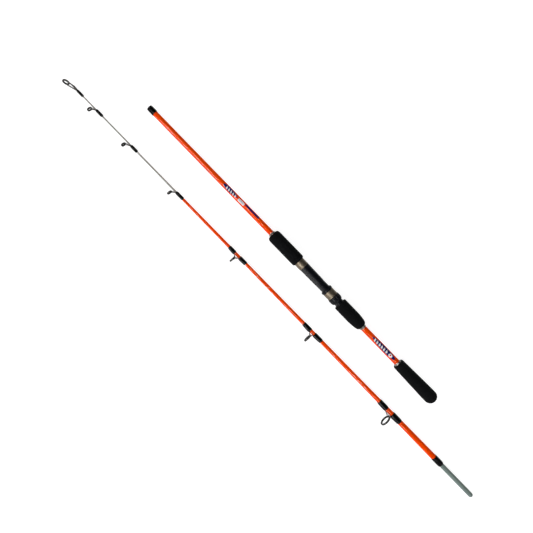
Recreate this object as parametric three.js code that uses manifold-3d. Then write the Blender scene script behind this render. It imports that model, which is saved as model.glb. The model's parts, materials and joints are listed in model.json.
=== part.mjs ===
// Two-section ice fishing rod, taken apart: the butt section (handle, reel seat, female
// ferrule) and the tip section (spigot, six line guides, tip-top) lie side by side on a
// flat surface. Millimetres, +Z up, +X from the butt towards the tip, +Y the way the line
// guides point. The origin is under the middle of the two sections, on the surface.
//
// Each section is modelled in a group of its own: its axis is the group's X axis, and x
// is the distance from the section's lower end. In the tip section's group +Y is the
// direction of the guides, and the whole group is then rolled about its axis.
import * as THREE from "three";
import { mergeVertices } from "three/addons/utils/BufferGeometryUtils.js";
import Module from "manifold-3d";

const wasm = await Module();
wasm.setup();

// ---------------------------------------------------------------- driving dimensions
const BUTT_LENGTH = 777;
const SECTION_SPACING = 75; // between the two axes
const SECTION_OFFSET = 179; // butt end to spigot end, along X

const ROUND_SIDES = 28; // sides of the handle's round pieces
const TUBE_SIDES = 20; // sides of the blanks
const RING_SIDES = 24; // sides of the guide rings
const WIRE_SIDES = 6;
const GAP = 0.2; // clearance between pieces that fit into each other

const GRIP_RADIUS = 13.2;
const GRIP_BORE = 6.4;
const FOREGRIP = { rear: 370.6, front: 441.5 };
const REAR_GRIP = { rear: 199, front: 258 };
const BUTT_GRIP = { rear: 0, front: 100, frontRadius: 11.2, bottom: 11.7 };

// reel seat
const SEAT = { rear: 258.3, front: 370.3, bore: 6.7, threadRadius: 9.4, barrelRadius: 10.15 };
const THREAD_FRONT = 316;
const DECK_HEIGHT = 7.4; // flat that carries the reel foot, above the axis
const DECK_FRONT = 367;
const FIXED_HOOD = { rear: 356, front: 370.3, inner: 9.5, outer: 10.2 };
const MOVING_HOOD = { rear: 277.6, step: 291.5, front: 297, inner: 9.9, wall: 10.35, lip: 11.6 };
const HOOD_SHELL = { inner: 10.5, outer: 10.95 };
const LOCK_NUT = { rear: 264.6, front: 277.3, inner: 9.75, outer: 12.1, lobes: 16, lobeDepth: 0.35 };
const ARBOR = { inner: 5.95, outer: 6.4, length: 12 };

// butt blank: [x, outer radius, bore radius]
const BUTT_BLANK = [
  [12, 6.12, 4.9],
  [105, 6.05, 4.85],
  [260, 5.72, 4.7],
  [477, 5.45, 4.55],
  [677, 5.3, 4.5],
  [684, 5.3, 4.7],
  [BUTT_LENGTH, 5.3, 4.7],
];
const MOUTH_WRAP = { rear: 761, edge: 5.9, crown: 6.1 };

// tip blank: [x, outer radius, bore radius]
const TIP_BLANK_END = 785.7;
const TIP_BLANK = [
  [85.3, 5.72, 4.85],
  [153, 5.4, 4.8],
  [193, 5.15, 4.2],
  [246, 4.3, 3.45],
  [308, 4.05, 3.2],
  [428, 3.7, 2.95],
  [608, 3.25, 2.5],
  [750, 2.8, 2.02],
  [TIP_BLANK_END, 2.7, 2.02],
];
const TIP_ROD = [
  [757, 1.8],
  [806, 1.8],
  [930, 1.5],
  [1020, 1.3],
  [1072.5, 1.2],
];
const SPIGOT = { radius: 4.5, rootRadius: 4.6, shoulder: 85, inner: 150 };
const SPIGOT_ROOT = { rear: 151, front: 191, radius: 2.3 };
const FERRULE_WRAP = { rear: 85.3, front: 105, radius: 6.15 };

// line guides, from the stripper to the tip: ring place along the section, height of the
// ring's centre above the axis, outer radius, forward lean in degrees, and the thread
// wraps over the feet. A guide with two wraps has two feet.
const GUIDES = [
  { x: 221, height: 18.3, radius: 11.1, lean: 0, wraps: [[232.5, 253], [197, 218.5]] },
  { x: 434.5, height: 15.3, radius: 8.4, lean: 1, wraps: [[439.5, 458.5], [410.5, 430]] },
  { x: 639.8, height: 12.6, radius: 7.1, lean: 2, wraps: [[645, 661], [615.5, 633]] },
  { x: 813, height: 10.2, radius: 5.3, lean: 8, wraps: [[786, 806]] },
  { x: 938.5, height: 9.2, radius: 5.1, lean: 8, wraps: [[911, 929]] },
  { x: 1031, height: 8.6, radius: 5.1, lean: 8, wraps: [[1005, 1023.5]] },
];
const TIP_TOP = { x: 1099.6, height: 4.6, radius: 6.9, lean: 60, tubeRear: 1058.5, tubeFront: 1075 };
const BAND = { wall: 0.5, width: 2 }; // metal band of the frame round the ceramic ring
const RING_WALL = 0.95;
const RING_WIDTH = 2.6;
const WRAP_BACK = 0.65; // thread build-up away from the foot
const WRAP_COVER = 0.9; // thread over the foot

// ------------------------------------------------------------------------- materials
const finish = (color, roughness, metalness = 0) =>
  new THREE.MeshStandardMaterial({ color, roughness, metalness });
const ORANGE = () => finish(0xff4a08, 0.25);
const THREAD = () => finish(0x0b0b0c, 0.2);
const FOAM = () => finish(0x151618, 0.95);
const PLASTIC = () => finish(0x1d1f22, 0.45);
const METAL = () => finish(0xb3a995, 0.3, 1);
const GREY_METAL = () => finish(0x8c8f90, 0.35, 1);
const CERAMIC = () => finish(0x18191b, 0.15);
const GLASS_FIBRE = () => finish(0xe6e4dc, 0.4);
const SPIGOT_GREY = () => finish(0x6e7d76, 0.7);

// ------------------------------------------------------------------- shape functions
const deg = THREE.MathUtils.degToRad;

// Piecewise linear value of one column of a table of [x, value, ...] rows.
function valueAt(rows, x, column = 1) {
  for (let i = 1; i < rows.length; i += 1) {
    if (x <= rows[i][0]) {
      const t = (x - rows[i - 1][0]) / (rows[i][0] - rows[i - 1][0]);
      return THREE.MathUtils.lerp(rows[i - 1][column], rows[i][column], t);
    }
  }
  return rows[rows.length - 1][column];
}

// Points of a quarter or other stretch of an ellipse, as [x, radius] pairs.
function arc(cx, cr, ax, ar, from, to, steps = 4) {
  const points = [];
  for (let i = 0; i <= steps; i += 1) {
    const a = deg(from + ((to - from) * i) / steps);
    points.push([cx + ax * Math.cos(a), cr + ar * Math.sin(a)]);
  }
  return points;
}

// Solid turned about the X axis from [x, radius] points that run towards +X. A profile
// that doesn't begin and end on the axis is closed into a ring.
function turned(profile, sides) {
  const points = profile.map(([x, r]) => new THREE.Vector2(r, x));
  const open = profile[0][1] > 0 || profile[profile.length - 1][1] > 0;
  if (open) points.push(points[0].clone());
  const geometry = new THREE.LatheGeometry(points, sides);
  return geometry.rotateZ(-Math.PI / 2);
}

// Ring or tube from its outer points, which run towards +X, and its bore's points.
function sleeve(outer, bore, sides) {
  return turned([...outer, ...[...bore].reverse()], sides);
}

function plainSleeve(rear, front, inner, outer, sides = ROUND_SIDES) {
  return sleeve([[rear, outer], [front, outer]], [[rear, inner], [front, inner]], sides);
}

// Outline drawn in the plane across the rod (shape x = -Z, shape y = +Y), pulled along X.
function acrossRod(shape, rear, front, curveSegments = 10) {
  const depth = front - rear;
  const geometry = new THREE.ExtrudeGeometry(shape, { depth, bevelEnabled: false, curveSegments });
  const turn = new THREE.Matrix4().makeBasis(
    new THREE.Vector3(0, 0, -1),
    new THREE.Vector3(0, 1, 0),
    new THREE.Vector3(1, 0, 0),
  );
  return geometry.applyMatrix4(turn).translate(rear, 0, 0);
}

// Round wire through the given points.
function wire(points, radius, steps = 5) {
  const section = new THREE.Shape();
  for (let i = 0; i < WIRE_SIDES; i += 1) {
    const a = (2 * Math.PI * i) / WIRE_SIDES;
    section[i ? "lineTo" : "moveTo"](radius * Math.cos(a), radius * Math.sin(a));
  }
  section.closePath();
  const extrudePath = new THREE.CatmullRomCurve3(points);
  return new THREE.ExtrudeGeometry(section, { steps, extrudePath, bevelEnabled: false });
}

function toSolid(geometry) {
  const bare = geometry.clone();
  bare.deleteAttribute("normal");
  bare.deleteAttribute("uv");
  const merged = mergeVertices(bare, 1e-4);
  return new wasm.Manifold(
    new wasm.Mesh({
      numProp: 3,
      vertProperties: merged.attributes.position.array,
      triVerts: Uint32Array.from(merged.index.array),
    }),
  );
}

function fromSolid(solid) {
  const mesh = solid.getMesh();
  const geometry = new THREE.BufferGeometry();
  geometry.setAttribute("position", new THREE.BufferAttribute(mesh.vertProperties, 3));
  geometry.setIndex(new THREE.BufferAttribute(mesh.triVerts, 1));
  geometry.computeVertexNormals();
  return geometry;
}

function joined(geometries) {
  return fromSolid(geometries.map(toSolid).reduce((a, b) => a.add(b)));
}

function cut(geometry, ...tools) {
  return fromSolid(tools.map(toSolid).reduce((a, b) => a.subtract(b), toSolid(geometry)));
}

function node(group, name, geometry, material) {
  const mesh = new THREE.Mesh(geometry, material);
  mesh.name = name;
  group.add(mesh);
}

// ---------------------------------------------------------------------- butt section
function foamGrip({ rear, front, rearRound, frontRound, bore = GRIP_BORE }) {
  const outer = [
    ...arc(rear + rearRound[0], GRIP_RADIUS - rearRound[1], rearRound[0], rearRound[1], 180, 90),
    ...arc(front - frontRound[0], GRIP_RADIUS - frontRound[1], frontRound[0], frontRound[1], 90, 0),
  ];
  return sleeve(outer, [[rear, bore], [front, bore]], ROUND_SIDES);
}

// The butt grip is blind: it tapers to the front, and its dome closes the butt end.
function buttGrip() {
  const dome = 12;
  const { front, frontRadius, bottom } = BUTT_GRIP;
  const profile = [
    ...arc(dome, 0, dome, GRIP_RADIUS, 180, 90, 6),
    [24, GRIP_RADIUS],
    ...arc(front - 3, frontRadius - 1.6, 3, 1.6, 90, 0, 3),
    [front, GRIP_BORE],
    [bottom, GRIP_BORE],
    [bottom, 0],
  ];
  return turned(profile, ROUND_SIDES);
}

// Conical trim ring between a grip and the blank, thick end first.
function windingCheck(gripEnd, blankEnd, thick, thin) {
  const rear = Math.min(gripEnd, blankEnd);
  const front = Math.max(gripEnd, blankEnd);
  const bore = valueAt(BUTT_BLANK, rear) + GAP;
  const atGrip = [gripEnd, thick];
  const atBlank = [blankEnd, thin];
  const outer = gripEnd < blankEnd ? [atGrip, atBlank] : [atBlank, atGrip];
  return sleeve(outer, [[rear, bore], [front, bore]], TUBE_SIDES);
}

// Graphite seat body: a waisted barrel, a recess under the fixed hood, a plain threaded
// length at the rear, and one flat cut along its side for the reel foot.
function seatBody(facing) {
  const outer = [
    [SEAT.rear, SEAT.threadRadius],
    [THREAD_FRONT, SEAT.threadRadius],
    [THREAD_FRONT + 1, 9.55],
    [338, 9.8],
    [FIXED_HOOD.rear - GAP, SEAT.barrelRadius],
    [FIXED_HOOD.rear - GAP, FIXED_HOOD.inner - GAP],
    [SEAT.front, FIXED_HOOD.inner - GAP],
  ];
  const bore = [[SEAT.rear, SEAT.bore], [SEAT.front, SEAT.bore]];
  const body = sleeve(outer, bore, ROUND_SIDES);
  const length = DECK_FRONT - SEAT.rear + 1;
  const depth = 6;
  const cutter = new THREE.BoxGeometry(length, depth, 2 * SEAT.barrelRadius + 2);
  cutter.translate(DECK_FRONT - length / 2, DECK_HEIGHT + depth / 2, 0);
  cutter.rotateX(facing);
  return cut(body, cutter);
}

function movingHood() {
  const { rear, step, front, inner, wall, lip } = MOVING_HOOD;
  const outer = [
    [rear, wall],
    [step, wall],
    [step, lip - 0.5],
    [step + 2, lip],
    [front - 1, lip],
    [front, lip - 0.6],
  ];
  return sleeve(outer, [[rear, inner], [front, inner]], ROUND_SIDES);
}

// Hand nut with a lobed rim, chamfered at both ends.
function lockNut() {
  const { rear, front, inner, outer, lobes, lobeDepth } = LOCK_NUT;
  const shape = new THREE.Shape();
  const points = lobes * 4;
  for (let i = 0; i < points; i += 1) {
    const a = (2 * Math.PI * i) / points;
    const r = outer - lobeDepth + lobeDepth * Math.cos(lobes * a);
    shape[i ? "lineTo" : "moveTo"](r * Math.cos(a), r * Math.sin(a));
  }
  shape.closePath();
  const rim = acrossRod(shape, rear, front);
  const limits = sleeve(
    [[rear - 1, inner + 0.6], [rear, inner + 0.9], [rear + 4, outer], [front - 0.6, outer], [front + 1, outer - 1]],
    [[rear - 1, inner], [front + 1, inner]],
    ROUND_SIDES,
  );
  return fromSolid(toSolid(rim).intersect(toSolid(limits)));
}

function makeButtSection(seatFacing) {
  const group = new THREE.Group();
  const outer = BUTT_BLANK.map(([x, r]) => [x, r]);
  const bore = BUTT_BLANK.map(([x, , r]) => [x, r]);
  node(group, "butt_blank", sleeve(outer, bore, TUBE_SIDES), ORANGE());

  const { rear, edge, crown } = MOUTH_WRAP;
  const middle = (rear + BUTT_LENGTH) / 2;
  const wrapBore = valueAt(BUTT_BLANK, rear) + GAP;
  const mouthWrap = sleeve(
    [[rear, edge], [middle, crown], [BUTT_LENGTH, edge]],
    [[rear, wrapBore], [BUTT_LENGTH, wrapBore]],
    TUBE_SIDES,
  );
  node(group, "ferrule_mouth_wrap", mouthWrap, THREAD());

  const foregrip = foamGrip({ ...FOREGRIP, rearRound: [5, 2.2], frontRound: [8, 3.8] });
  node(group, "foregrip", foregrip, FOAM());
  node(group, "foregrip_check", windingCheck(FOREGRIP.front + 0.3, 445.2, 8, 6.1), GREY_METAL());
  node(group, "rear_grip", foamGrip({ ...REAR_GRIP, rearRound: [28, 4.5], frontRound: [1.5, 0.8] }), FOAM());
  node(group, "rear_grip_check", windingCheck(REAR_GRIP.rear - 0.3, 194, 7.6, 6.3), GREY_METAL());
  node(group, "butt_grip", buttGrip(), FOAM());
  node(group, "butt_grip_check", windingCheck(BUTT_GRIP.front + 0.3, 103.5, 7.8, 6.5), GREY_METAL());

  node(group, "seat_body", seatBody(seatFacing), PLASTIC());
  const fixed = plainSleeve(FIXED_HOOD.rear, FIXED_HOOD.front, FIXED_HOOD.inner, FIXED_HOOD.outer);
  node(group, "fixed_hood_shell", fixed, METAL());
  node(group, "moving_hood", movingHood(), PLASTIC());
  const shell = plainSleeve(
    MOVING_HOOD.rear,
    MOVING_HOOD.step - GAP,
    HOOD_SHELL.inner,
    HOOD_SHELL.outer,
  );
  node(group, "moving_hood_shell", shell, METAL());
  node(group, "lock_nut", lockNut(), PLASTIC());
  for (const [name, at] of [["seat_arbor_rear", SEAT.rear + 6], ["seat_arbor_front", SEAT.front - 18]]) {
    const arbor = plainSleeve(at, at + ARBOR.length, ARBOR.inner, ARBOR.outer, TUBE_SIDES);
    node(group, name, arbor, finish(0xb59c6c, 0.9));
  }

  const plug = turned([[12.5, 0], [12.5, 4.6], [30, 4.5], [30, 0]], TUBE_SIDES);
  node(group, "butt_plug", plug, finish(0x2a2a2a, 0.9));
  return group;
}

// ----------------------------------------------------------------------- tip section
const rodRadius = (x) => (x > TIP_BLANK_END ? valueAt(TIP_ROD, x) : valueAt(TIP_BLANK, x));

// Foot of a guide: a thin strip that lies along the rod under its thread wrap.
function footSize(guide) {
  const small = guide.wraps.length === 1;
  return { width: small ? 1.4 : 2, thickness: small ? 0.5 : 0.7 };
}

function guideFoot(guide, rear, front) {
  const { width, thickness } = footSize(guide);
  const base = Math.max(rodRadius(rear), rodRadius(front)) + GAP;
  const strip = new THREE.BoxGeometry(front - rear, thickness, width);
  return strip.translate((rear + front) / 2, base + thickness / 2, 0);
}

// Thread wrap: an off-centre sleeve, thin at the back and thick over the foot, with a
// channel that leaves room for the foot.
function threadWrap(guide, rear, front) {
  const { width, thickness } = footSize(guide);
  const rod = Math.max(rodRadius(rear), rodRadius(front));
  const back = rod + WRAP_BACK;
  const crown = rod + GAP + thickness + WRAP_COVER;
  const shape = new THREE.Shape();
  shape.absarc(0, (crown - back) / 2, (crown + back) / 2, 0, 2 * Math.PI);
  const hole = new THREE.Path();
  const half = width / 2 + GAP;
  const bore = rod + GAP;
  const start = Math.acos(half / bore);
  hole.absarc(0, 0, bore, start, Math.PI - start, true);
  hole.lineTo(-half, rod + GAP + thickness + GAP);
  hole.lineTo(half, rod + GAP + thickness + GAP);
  hole.closePath();
  shape.holes.push(hole);
  return acrossRod(shape, rear, front);
}

// Puts a ring that was turned about the origin in its place on the rod.
function placeRing(geometry, { x, height, lean }) {
  return geometry.rotateZ(-deg(lean)).translate(x, height, 0);
}

function guideBand(guide) {
  const inner = guide.radius - BAND.wall;
  const band = plainSleeve(-BAND.width / 2, BAND.width / 2, inner, guide.radius, RING_SIDES);
  return placeRing(band, guide);
}

function guideRing(guide) {
  const outer = guide.radius - BAND.wall - GAP;
  const inner = outer - RING_WALL;
  const half = RING_WIDTH / 2;
  const profile = [
    [-half, inner + 0.35],
    [-half, outer - 0.2],
    [half, outer - 0.2],
    [half, inner + 0.35],
    [0.5, inner],
    [-0.5, inner],
  ];
  return placeRing(turned(profile, RING_SIDES), guide);
}

// Legs and feet joined to the band, with the ring's seat and hole kept clear of them.
function frameOf(guide, parts) {
  const clear = guide.radius - BAND.wall;
  const seat = turned([[-3, 0], [-3, clear], [3, clear], [3, 0]], RING_SIDES);
  return joined([cut(joined(parts), placeRing(seat, guide)), guideBand(guide)]);
}

// Point just inside the band, at an angle from the point nearest the rod, where a leg
// ends so that its own thickness doesn't stand out past the band.
function bandPoint(guide, degrees) {
  const r = guide.radius - BAND.wall - 0.15;
  const along = -r * Math.cos(deg(degrees));
  const lean = deg(guide.lean);
  return new THREE.Vector3(
    guide.x + along * Math.sin(lean),
    guide.height + along * Math.cos(lean),
    r * Math.sin(deg(degrees)),
  );
}

// Leg from a foot, where it comes out of its wrap at edgeX, to the band: it leaves the
// foot level and bends outwards. towards is the sign of its way along the rod.
function leg(guide, edgeX, towards, degrees, radius) {
  const footX = edgeX + 0.4 * towards;
  const { thickness } = footSize(guide);
  const level = rodRadius(footX) + GAP + thickness / 2;
  const target = bandPoint(guide, degrees);
  const side = 0.35 * Math.sign(Math.round(target.z));
  const path = [
    new THREE.Vector3(footX, level + 0.1, side),
    new THREE.Vector3(footX + 1.2 * towards, level + 0.3, side),
    new THREE.Vector3(
      THREE.MathUtils.lerp(footX, target.x, 0.6),
      THREE.MathUtils.lerp(level, target.y, 0.45),
      THREE.MathUtils.lerp(side, target.z, 0.55),
    ),
    target,
  ];
  return wire(path, radius);
}

function guideFrame(guide) {
  const parts = [];
  const [front, rear] = guide.wraps;
  if (rear) {
    parts.push(guideFoot(guide, front[0] - 1.5, front[1] - 1.5));
    parts.push(guideFoot(guide, rear[0] + 1.5, rear[1] + 1.5));
    parts.push(leg(guide, front[0], -1, 22, 0.65), leg(guide, front[0], -1, -22, 0.65));
    parts.push(leg(guide, rear[1], 1, 78, 0.65), leg(guide, rear[1], 1, -78, 0.65));
  } else {
    parts.push(guideFoot(guide, front[0] + 1.5, front[1] + 1.5));
    parts.push(leg(guide, front[1], 1, 48, 0.5), leg(guide, front[1], 1, -48, 0.5));
  }
  return frameOf(guide, parts);
}

// Tip-top: a short tube over the rod's end, one arm to the near side of the ring and two
// arms to its flanks.
function tipTopFrame() {
  const rod = valueAt(TIP_ROD, TIP_TOP.tubeRear);
  const { tubeRear, tubeFront } = TIP_TOP;
  const tubeRadius = rod + GAP + 0.55;
  const tube = sleeve(
    [[tubeRear, tubeRadius], [tubeFront + 1, tubeRadius], [tubeFront + 3, 0.8]],
    [[tubeRear, rod + GAP], [tubeFront - 1, rod + GAP], [tubeFront - 1, 0.4], [tubeFront + 3, 0.4]],
    TUBE_SIDES,
  );
  const start = new THREE.Vector3(tubeFront + 1.2, 1.1, 0);
  const arms = [0, 105, -105].map((degrees) => {
    const target = bandPoint(TIP_TOP, degrees);
    const side = Math.sign(Math.round(target.z)) * 1.1;
    const near = new THREE.Vector3(start.x, degrees ? 0.6 : -0.9, side);
    const middle = near.clone().lerp(target, 0.5);
    middle.y -= degrees ? 0.8 : 1.6;
    middle.z += Math.sign(side) * 1.5;
    return wire([near, middle, target], 0.55);
  });
  return frameOf(TIP_TOP, [tube, ...arms]);
}

function tipTopWrap() {
  const inner = valueAt(TIP_ROD, TIP_TOP.tubeRear) + 2 * GAP + 0.55;
  return plainSleeve(TIP_TOP.tubeRear + 0.5, TIP_TOP.tubeFront - 1, inner, inner + 0.45, TUBE_SIDES);
}

function makeTipSection() {
  const group = new THREE.Group();
  const outer = TIP_BLANK.map(([x, r]) => [x, r]);
  const bore = TIP_BLANK.map(([x, , r]) => [x, r]);
  node(group, "tip_blank", sleeve(outer, bore, TUBE_SIDES), ORANGE());
  const rod = [[TIP_ROD[0][0], 0], ...TIP_ROD, [TIP_ROD[TIP_ROD.length - 1][0], 0]];
  node(group, "solid_tip", turned(rod, TUBE_SIDES), GLASS_FIBRE());

  const { radius, rootRadius, shoulder, inner } = SPIGOT;
  const spigot = [
    ...arc(radius, 0, radius, radius, 180, 90, 4),
    [shoulder, rootRadius],
    [inner, rootRadius],
    [inner, 0],
  ];
  node(group, "spigot", turned(spigot, TUBE_SIDES), SPIGOT_GREY());
  const { rear, front, radius: slim } = SPIGOT_ROOT;
  const root = turned([[rear, 0], [rear, slim], [front - 3, slim], [front, 1.2], [front, 0]], TUBE_SIDES);
  node(group, "spigot_root", root, SPIGOT_GREY());

  const wrapBore = valueAt(TIP_BLANK, FERRULE_WRAP.rear) + GAP;
  const ferruleWrap = sleeve(
    [[FERRULE_WRAP.rear, FERRULE_WRAP.radius], [FERRULE_WRAP.front, FERRULE_WRAP.radius - 0.1]],
    [[FERRULE_WRAP.rear, wrapBore], [FERRULE_WRAP.front, wrapBore]],
    TUBE_SIDES,
  );
  node(group, "ferrule_wrap", ferruleWrap, THREAD());

  GUIDES.forEach((guide, i) => {
    const name = `guide_${i + 1}`;
    node(group, `${name}_frame`, guideFrame(guide), GREY_METAL());
    node(group, `${name}_ring`, guideRing(guide), CERAMIC());
    const places = guide.wraps.length === 2 ? ["_front", "_rear"] : [""];
    places.forEach((place, k) => {
      const [wrapRear, wrapFront] = guide.wraps[k];
      node(group, `${name}_wrap${place}`, threadWrap(guide, wrapRear, wrapFront), THREAD());
    });
  });

  node(group, "tip_top_frame", tipTopFrame(), GREY_METAL());
  node(group, "tip_top_ring", guideRing(TIP_TOP), CERAMIC());
  node(group, "tip_top_wrap", tipTopWrap(), THREAD());
  return group;
}

// ---------------------------------------------------------------------------- layout
// The tip section lies on its ferrule wrap and on the stripper guide's ring, so its
// guides point a little above the level. The reel seat faces the same way.
const stripper = GUIDES[0];
const roll = Math.asin((stripper.radius + 0.05 - FERRULE_WRAP.radius) / stripper.height);

const rodParts = new THREE.Group();
const buttSection = makeButtSection(roll);
const tipSection = makeTipSection();
tipSection.rotation.x = roll;
buttSection.position.set(SECTION_OFFSET, 0, GRIP_RADIUS);
tipSection.position.set(0, SECTION_SPACING, FERRULE_WRAP.radius);
rodParts.add(buttSection, tipSection);

const box = new THREE.Box3().setFromObject(rodParts, true);
const middle = box.getCenter(new THREE.Vector3());
rodParts.position.set(-middle.x, -middle.y, -box.min.z);

export default rodParts;
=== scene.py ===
"""Visual model of a two-section ice fishing rod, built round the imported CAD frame.

Each section has directions of its own, in millimetres: x along it from its lower end, up
the way its line guides or its reel seat face, and side across both. Pieces are built in
those directions and then placed, so that their meshes end up in the shared frame.
"""
import json
import math

import bmesh
import bpy
import numpy as np
from mathutils import Matrix, Vector, noise

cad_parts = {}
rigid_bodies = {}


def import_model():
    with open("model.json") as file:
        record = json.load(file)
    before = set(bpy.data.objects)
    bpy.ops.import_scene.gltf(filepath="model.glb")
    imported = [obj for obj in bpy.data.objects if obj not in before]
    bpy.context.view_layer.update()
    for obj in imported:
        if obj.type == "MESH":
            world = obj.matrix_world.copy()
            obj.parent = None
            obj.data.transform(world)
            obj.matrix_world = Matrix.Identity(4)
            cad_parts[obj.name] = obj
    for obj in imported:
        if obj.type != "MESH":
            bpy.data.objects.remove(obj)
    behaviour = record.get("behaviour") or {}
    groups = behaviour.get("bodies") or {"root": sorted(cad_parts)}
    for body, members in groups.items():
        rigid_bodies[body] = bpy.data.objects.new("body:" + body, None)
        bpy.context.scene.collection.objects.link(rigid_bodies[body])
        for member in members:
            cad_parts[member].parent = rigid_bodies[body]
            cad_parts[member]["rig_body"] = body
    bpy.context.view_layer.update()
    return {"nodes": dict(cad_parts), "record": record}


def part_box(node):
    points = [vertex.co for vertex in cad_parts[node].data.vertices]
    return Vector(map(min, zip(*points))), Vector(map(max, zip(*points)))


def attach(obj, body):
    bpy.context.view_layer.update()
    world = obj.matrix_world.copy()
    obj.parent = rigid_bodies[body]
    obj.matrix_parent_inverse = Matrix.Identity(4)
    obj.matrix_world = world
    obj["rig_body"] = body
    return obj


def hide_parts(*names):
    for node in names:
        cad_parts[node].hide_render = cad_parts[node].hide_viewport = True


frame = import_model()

MM = 0.001
SLOT_OF = {row["node"]: row["material_slot"] for row in frame["record"]["subparts"]}

# ------------------------------------------------------------------------ sizes, mm
GAP = 0.2  # clearance that the CAD solids keep
FOAM_LUMPS = (1.6, 0.07)  # size and depth of the foam's unevenness

# reel seat
THREAD_PITCH = 2.5
THREAD_DEPTH = 0.6
THREAD_FRONT = 316
DECK_HEIGHT = 7.4
DECK_FRONT = 367
WAIST = [(318, 9.5), (338, 9.8)]  # barrel between its thread and the fixed hood
SEAT_CREST = 9.4  # radius of the thread
SEAT_NECK = 9.3  # radius under the fixed hood's shell
SEAT_BORE = 6.5
HOOD_BEAD = 0.22  # height of the rolled bead on a hood's shell
COLLAR_NOTCHES = 24
NUT_LOBES = 16
TAPE_LINE = 0.1  # depth of the step between two turns of tape

# printed films
DECAL_STEP = 0.6  # length of a film's faces along the rod
FILM_AROUND = 24  # points across a film
FILM_THICKNESS = 0.02
FLASH_LIFT = 0.05  # height of the lowest film above the blank
PRINT_LIFT = 0.08
MARK_LIFT = 0.11
BAR_SLANT = 26  # degrees round the rod from one end of a bar to the other

# line guides
BAND_WALL = 0.5
BAND_WIDTH = 1.5  # metal that shows between the ring's flanges
RING_WALL = (1.35, 0.1)  # wall of a ring, and how much of its radius is added to that
TIP_RING_WALL = (1.6, 0.1)  # the same for the tip-top
RING_HALF = 1.5  # half the width of a ring along its own axis
SKIN_VOXEL = 0.11  # resolution of the guide frames
FOOT_PLACES = (9, 4, -1.2)  # under the wrap, back from the wrap's inner end
TWO_FOOT_LEG = ((1.5, 1.3), (0.75, 1.1))  # width and thickness, each at foot and ring
ONE_FOOT_LEG = ((2.3, 1.9), (1.0, 1.3))
TIP_TOP_ARM = ((2.3, 2.0), (2.1, 1.8))
STRIP_SIDES = 14
STRIP_STEPS = 9  # between two points of a strip's curve
TWO_FOOT_WRAP = (0.42, 0.62)  # pitch of the thread, and its height away from the foot
ONE_FOOT_WRAP = (0.34, 1.5)
WRAP_EDGE = 0.16  # height of a foot wrap at its ends

# ------------------------------------------------------------------ floor and lights
FLOOR_REACH = 6.0  # metres from the middle of the floor to its sides
FLOOR_DROP = 0.0001  # metres that the floor lies below the rod
TABLE_GLOW = 0.92
WALL_LIGHT = 1.0
CEILING_LIGHT = 0.2
FAR_WALL_SHARE = 0.2  # of the wall light that comes from the -Y side


# --------------------------------------------------------------------------- frames
class Section:
    """One section's axis, its zero and its directions."""

    def __init__(self, axis_node, end_node, facing):
        low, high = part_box(axis_node)
        middle = (low + high) / 2
        self.origin = Vector((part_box(end_node)[0].x, middle.y, middle.z))
        self.up = facing
        self.side = Vector((1, 0, 0)).cross(facing)
        turn = Matrix((Vector((1, 0, 0)), self.up, self.side)).transposed().to_4x4()
        self.matrix = Matrix.Translation(self.origin) @ turn

    def local(self, node):
        """Vertices of a CAD node as rows of x, up, side."""
        mesh = frame["nodes"][node].data
        co = np.empty(len(mesh.vertices) * 3)
        mesh.vertices.foreach_get("co", co)
        moved = co.reshape(-1, 3) - np.array(self.origin)
        axes = np.array([(1, 0, 0), self.up, self.side])
        return moved @ axes.T / MM

    def span(self, node):
        """Where a CAD node begins and ends along the section."""
        x = self.local(node)[:, 0]
        return x.min(), x.max()

    def rings(self, node):
        """Rows of (x, outer radius, bore radius) of a turned CAD node."""
        p = self.local(node)
        x = np.round(p[:, 0], 1)
        r = np.hypot(p[:, 1], p[:, 2])
        return [(v, r[x == v].max(), r[x == v].min()) for v in np.unique(x)]


def guide_facing():
    """Direction from the tip section's axis to its stripper guide's ring."""
    low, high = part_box("guide_1_ring")
    axis_low, axis_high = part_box("tip_blank")
    away = (low + high) / 2 - (axis_low + axis_high) / 2
    away.x = 0
    return away.normalized()


facing = guide_facing()
tip = Section("tip_blank", "spigot", facing)
butt = Section("butt_blank", "butt_grip", facing)


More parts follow.
